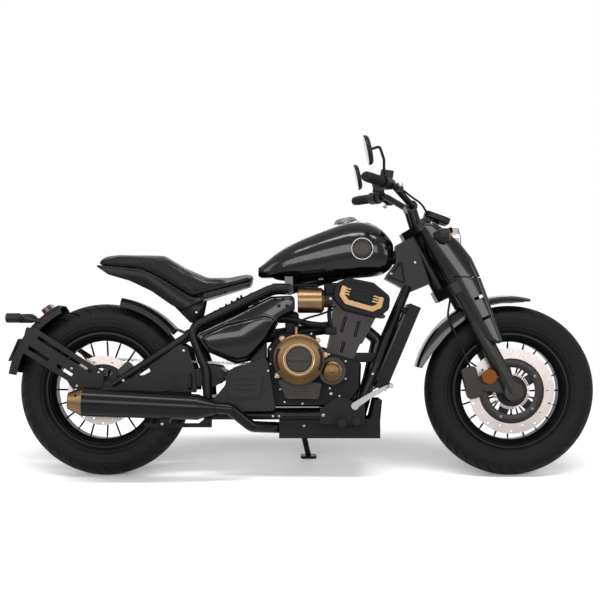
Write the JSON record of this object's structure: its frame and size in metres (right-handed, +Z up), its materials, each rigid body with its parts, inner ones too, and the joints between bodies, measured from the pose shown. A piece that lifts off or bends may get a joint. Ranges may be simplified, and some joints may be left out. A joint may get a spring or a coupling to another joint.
{
  "type": "cruiser motorcycle",
  "caption": "Long low cruiser motorcycle leaning on its side stand, with fat spoked wheels, teardrop tank, stepped seat, bare engine, nacelle headlamp and side exhaust.",
  "frame": {"origin": "bottom centre of the parked motorcycle's bounding box, on the floor", "axes": "+X towards the front wheel, +Y to the left, the side it leans to, +Z up from the floor"},
  "size_m": [2.204, 0.8864, 1.2764],
  "materials": {
    "gloss_black": "gloss",
    "satin_black": "satin",
    "engine_grey": "satin",
    "bronze": "satin",
    "gunmetal": "satin",
    "bright_steel": "brushed",
    "chrome": "polished",
    "tyre": "matte",
    "rubber": "matte",
    "leather": "satin",
    "plastic": "matte",
    "lens_clear": "clear",
    "lens_red": "gloss",
    "lens_amber": "gloss",
    "mirror": "polished"
  },
  "bodies": {
    "chassis": {"rear_axle": "bright_steel", "frame_head": "satin_black", "frame_rails": "satin_black", "frame_cradle": "satin_black", "swingarm": "satin_black", "shock": "satin_black", "crankcase": "satin_black", "cylinder": "engine_grey", "head_covers": "satin_black", "engine_covers": "engine_grey", "engine_trims": "bronze", "intake_can": "bronze", "airbox": "plastic", "radiator": "satin_black", "muffler": "gunmetal", "exhaust": "gunmetal", "muffler_tip": "bronze", "drive_chain": "bright_steel", "fuel_tank": "gloss_black", "fuel_cap": "chrome", "seat_cushion": "leather", "seat_pan": "gloss_black", "side_covers": "gloss_black", "lower_covers": "satin_black", "belly_pan": "satin_black", "rear_fender": "satin_black", "tail_hanger": "satin_black", "rear_lamp": "lens_red", "rear_indicators": "plastic", "rear_caliper": "engine_grey", "foot_rests": "satin_black", "pedals": "bright_steel"},
    "steering": {"front_axle": "bright_steel", "fork_legs": "engine_grey", "triple_clamps": "satin_black", "handlebar": "satin_black", "grips": "rubber", "bar_controls": "plastic", "levers": "bright_steel", "mirrors": "plastic", "mirror_glasses": "mirror", "nacelle": "gloss_black", "fork_guards": "gloss_black", "headlamp": "satin_black", "headlamp_lens": "lens_clear", "instrument": "plastic", "front_indicators": "plastic", "front_caliper": "engine_grey", "fork_reflectors": "lens_amber", "brake_hose": "rubber", "front_fender": "gloss_black"},
    "front_wheel_body": {"front_tyre": "tyre", "front_wheel": "satin_black", "front_rotor": "bright_steel"},
    "rear_wheel_body": {"rear_tyre": "tyre", "rear_wheel": "satin_black", "rear_rotor": "bright_steel", "rear_sprocket": "bright_steel"},
    "stand": {"side_stand": "satin_black"}
  },
  "joints": [
    {"name": "steering", "type": "hinge", "parent": "chassis", "child": "steering", "pos_m": [0.47607, -0.05823, 0.78249], "axis": [-0.4756, 0.1376, 0.8688], "range_deg": [-38, 38]},
    {"name": "front_wheel_spin", "type": "hinge", "parent": "steering", "child": "front_wheel_body", "pos_m": [0.782, -0.13194, 0.31709], "axis": [0, 0.9877, -0.1564], "continuous": true},
    {"name": "rear_wheel_spin", "type": "hinge", "parent": "chassis", "child": "rear_wheel_body", "pos_m": [-0.744, -0.13147, 0.32006], "axis": [0, 0.9877, -0.1564], "continuous": true},
    {"name": "side_stand_fold", "type": "hinge", "parent": "chassis", "child": "stand", "pos_m": [-0.011, -0.00968, 0.1813], "axis": [0.1327, 0.8916, 0.4329], "range_deg": [0, 95]}
  ]
}
